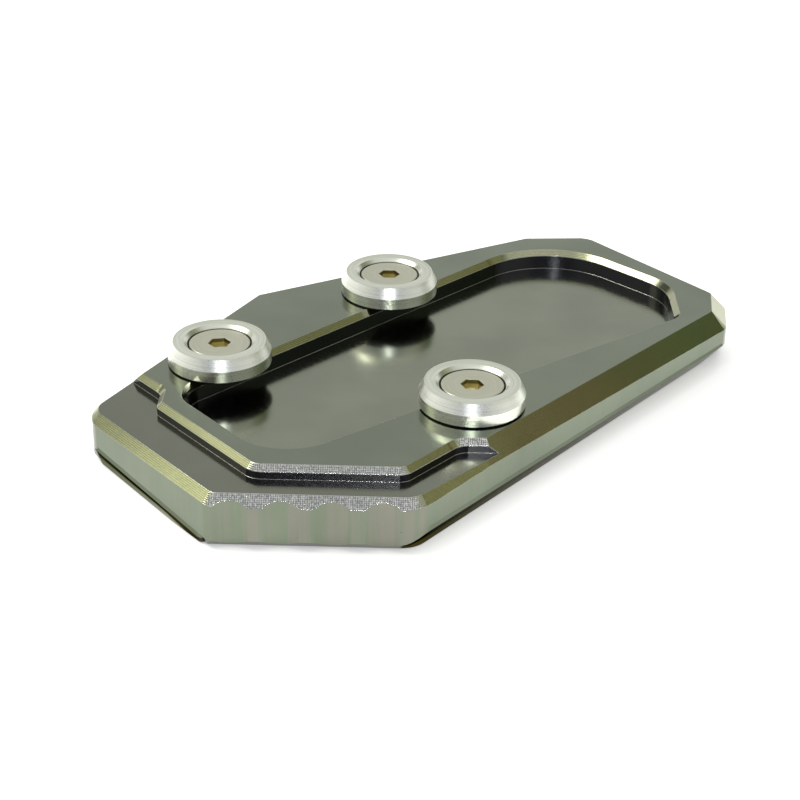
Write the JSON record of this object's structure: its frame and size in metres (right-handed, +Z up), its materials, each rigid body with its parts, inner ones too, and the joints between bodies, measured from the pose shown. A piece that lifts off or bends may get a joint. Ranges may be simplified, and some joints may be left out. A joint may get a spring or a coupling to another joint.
{
  "type": "kickstand foot enlarger",
  "caption": "Thick metal foot plate with a pocket for a motorbike side stand's end, and countersunk clamp washers with hex socket screws that hold it on.",
  "frame": {"origin": "middle of the plate's outline, on the flat underside", "axes": "+Z up out of the pocket, +X to the right along the plate's longer extent, +Y away from the fluted front"},
  "size_m": [0.1282, 0.1176, 0.0177],
  "materials": {
    "plate": "bead-blasted and anodised grey, with a slight olive tint, milled edges",
    "washer": "turned stainless steel",
    "screw": "plain stainless steel with a warm tint"
  },
  "bodies": {
    "root": {"base_plate": "plate", "clamp_washer_left": "washer", "clamp_washer_back": "washer", "clamp_washer_right": "washer", "clamp_screw_left": "screw", "clamp_screw_back": "screw", "clamp_screw_right": "screw"}
  },
  "joints": []
}
